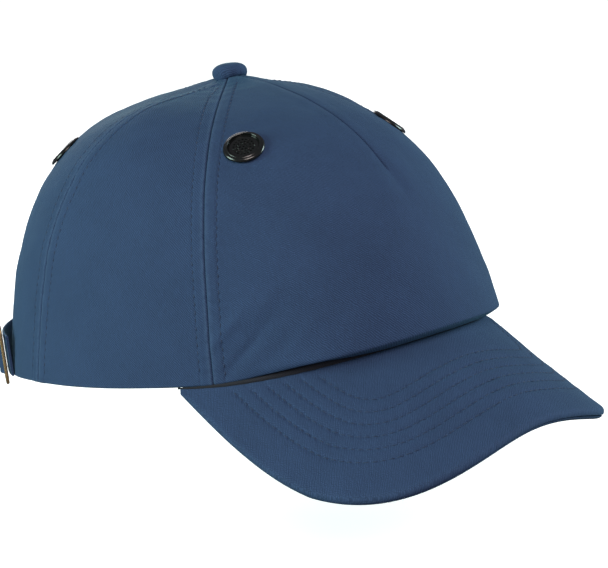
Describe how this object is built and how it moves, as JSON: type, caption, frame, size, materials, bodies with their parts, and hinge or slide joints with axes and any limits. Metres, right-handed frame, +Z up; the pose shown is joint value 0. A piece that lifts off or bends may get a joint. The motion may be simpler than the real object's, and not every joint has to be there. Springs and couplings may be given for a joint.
{
  "type": "bump cap",
  "caption": "Baseball-style bump cap: navy twill panels over a vented plastic shell with foam pads, stitched curved peak, push-in vents and a rear strap with a brass slide buckle.",
  "frame": {"origin": "centre of the head opening, level with the rim at the wearer's sides", "axes": "-Y towards the front of the cap, +X to the wearer's left, +Z up through the crown"},
  "size_m": [0.185, 0.2605, 0.1501],
  "materials": {
    "navy_twill": "matt cotton-rich twill",
    "seam_tape": "matt woven tape",
    "sweatband_fabric": "matt towelling",
    "peak_board_plastic": "plain moulded",
    "shell_abs": "satin moulded",
    "eva_foam": "closed-cell foam",
    "vent_plastic": "semi-gloss moulded",
    "brass": "polished, lightly worn",
    "rivet_steel": "plain"
  },
  "bodies": {
    "cap": {"front_panel": "navy_twill", "side_panel_left": "navy_twill", "side_panel_right": "navy_twill", "back_panel_left": "navy_twill", "back_panel_right": "navy_twill", "top_button": "navy_twill", "peak_top_cover": "navy_twill", "peak_under_cover": "navy_twill", "back_strap": "navy_twill", "seam_tape_front_left": "seam_tape", "seam_tape_front_right": "seam_tape", "seam_tape_rear_left": "seam_tape", "seam_tape_rear_right": "seam_tape", "seam_tape_back": "seam_tape", "button_washer": "seam_tape", "arch_binding": "seam_tape", "sweatband": "sweatband_fabric", "peak_board": "peak_board_plastic", "bump_shell": "shell_abs", "foam_pad_front": "eva_foam", "foam_pad_left": "eva_foam", "foam_pad_right": "eva_foam", "foam_pad_rear_left": "eva_foam", "foam_pad_rear_right": "eva_foam", "foam_pad_crown": "eva_foam", "vent_cap_front_left": "vent_plastic", "vent_cap_front_right": "vent_plastic", "vent_cap_rear_left": "vent_plastic", "vent_cap_rear_right": "vent_plastic", "vent_collar_front_left": "vent_plastic", "vent_collar_front_right": "vent_plastic", "vent_collar_rear_left": "vent_plastic", "vent_collar_rear_right": "vent_plastic", "button_rivet": "rivet_steel"},
    "slider": {"buckle_frame": "brass", "strap_fold": "navy_twill"}
  },
  "joints": [
    {"name": "buckle_slide", "type": "hinge", "parent": "cap", "child": "slider", "pos_m": [0, 0.017, 0.008], "axis": [0, 0, -1], "range_deg": [0, 31]}
  ]
}
